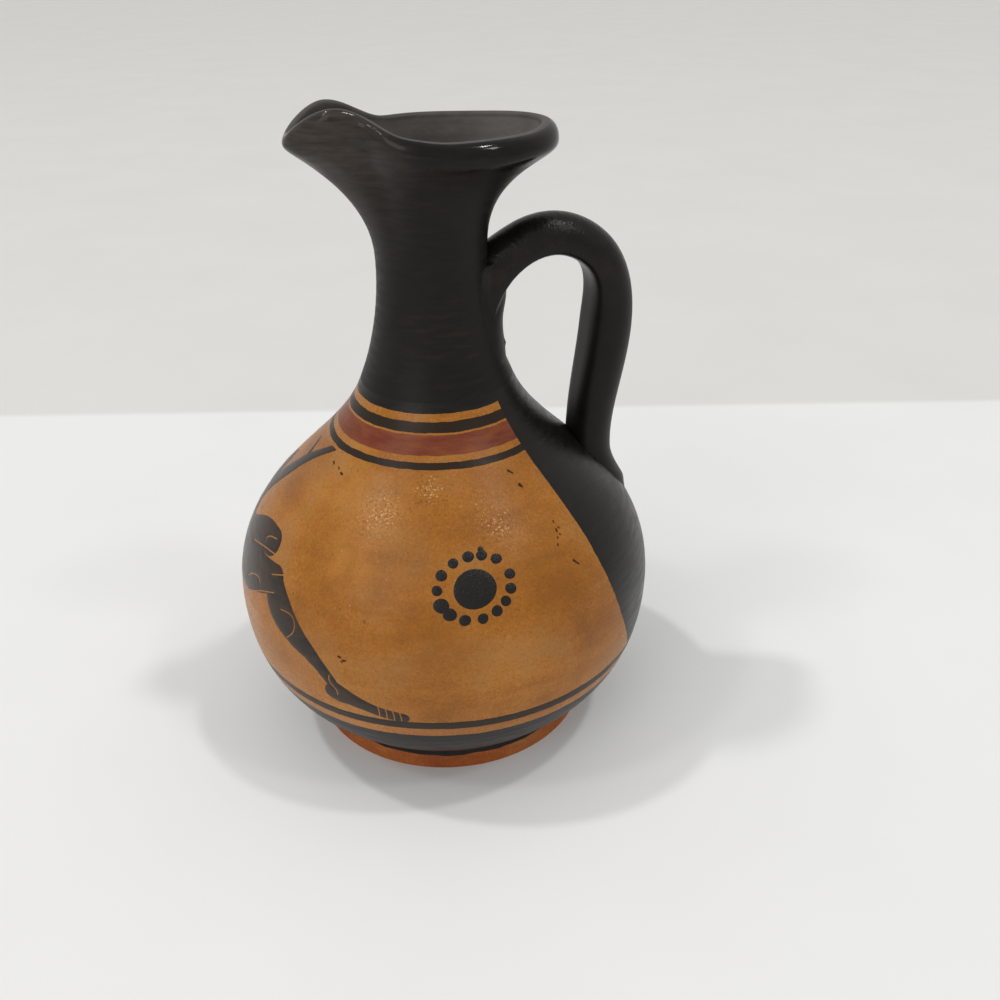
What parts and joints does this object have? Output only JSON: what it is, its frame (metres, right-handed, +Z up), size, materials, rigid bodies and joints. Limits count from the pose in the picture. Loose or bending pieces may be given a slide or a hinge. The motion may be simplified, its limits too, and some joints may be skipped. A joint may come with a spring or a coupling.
{
  "type": "oinochoe jug",
  "caption": "Small ceramic pouring jug with a round painted belly, slender flared neck, pinched spout, strap handle and low disc foot.",
  "frame": {"origin": "centre of the resting face of the foot, on the axis of the body and neck", "axes": "+Z up along the throwing axis, +X towards the handle, -X towards the spout, +Y completing a right-handed frame"},
  "size_m": [0.1, 0.1, 0.1468],
  "materials": {
    "bare_terracotta": "bare fired clay, matt",
    "painted_terracotta": "burnished orange clay painted with black and dark red slip, satin",
    "black_slip_gloss": "black slip with a satin gloss and faint turning marks"
  },
  "bodies": {
    "root": {"foot": "bare_terracotta", "foot_luting": "bare_terracotta", "body": "painted_terracotta", "neck_luting": "black_slip_gloss", "neck": "black_slip_gloss", "handle": "black_slip_gloss", "upper_handle_luting": "black_slip_gloss", "lower_handle_luting": "black_slip_gloss"}
  },
  "joints": []
}
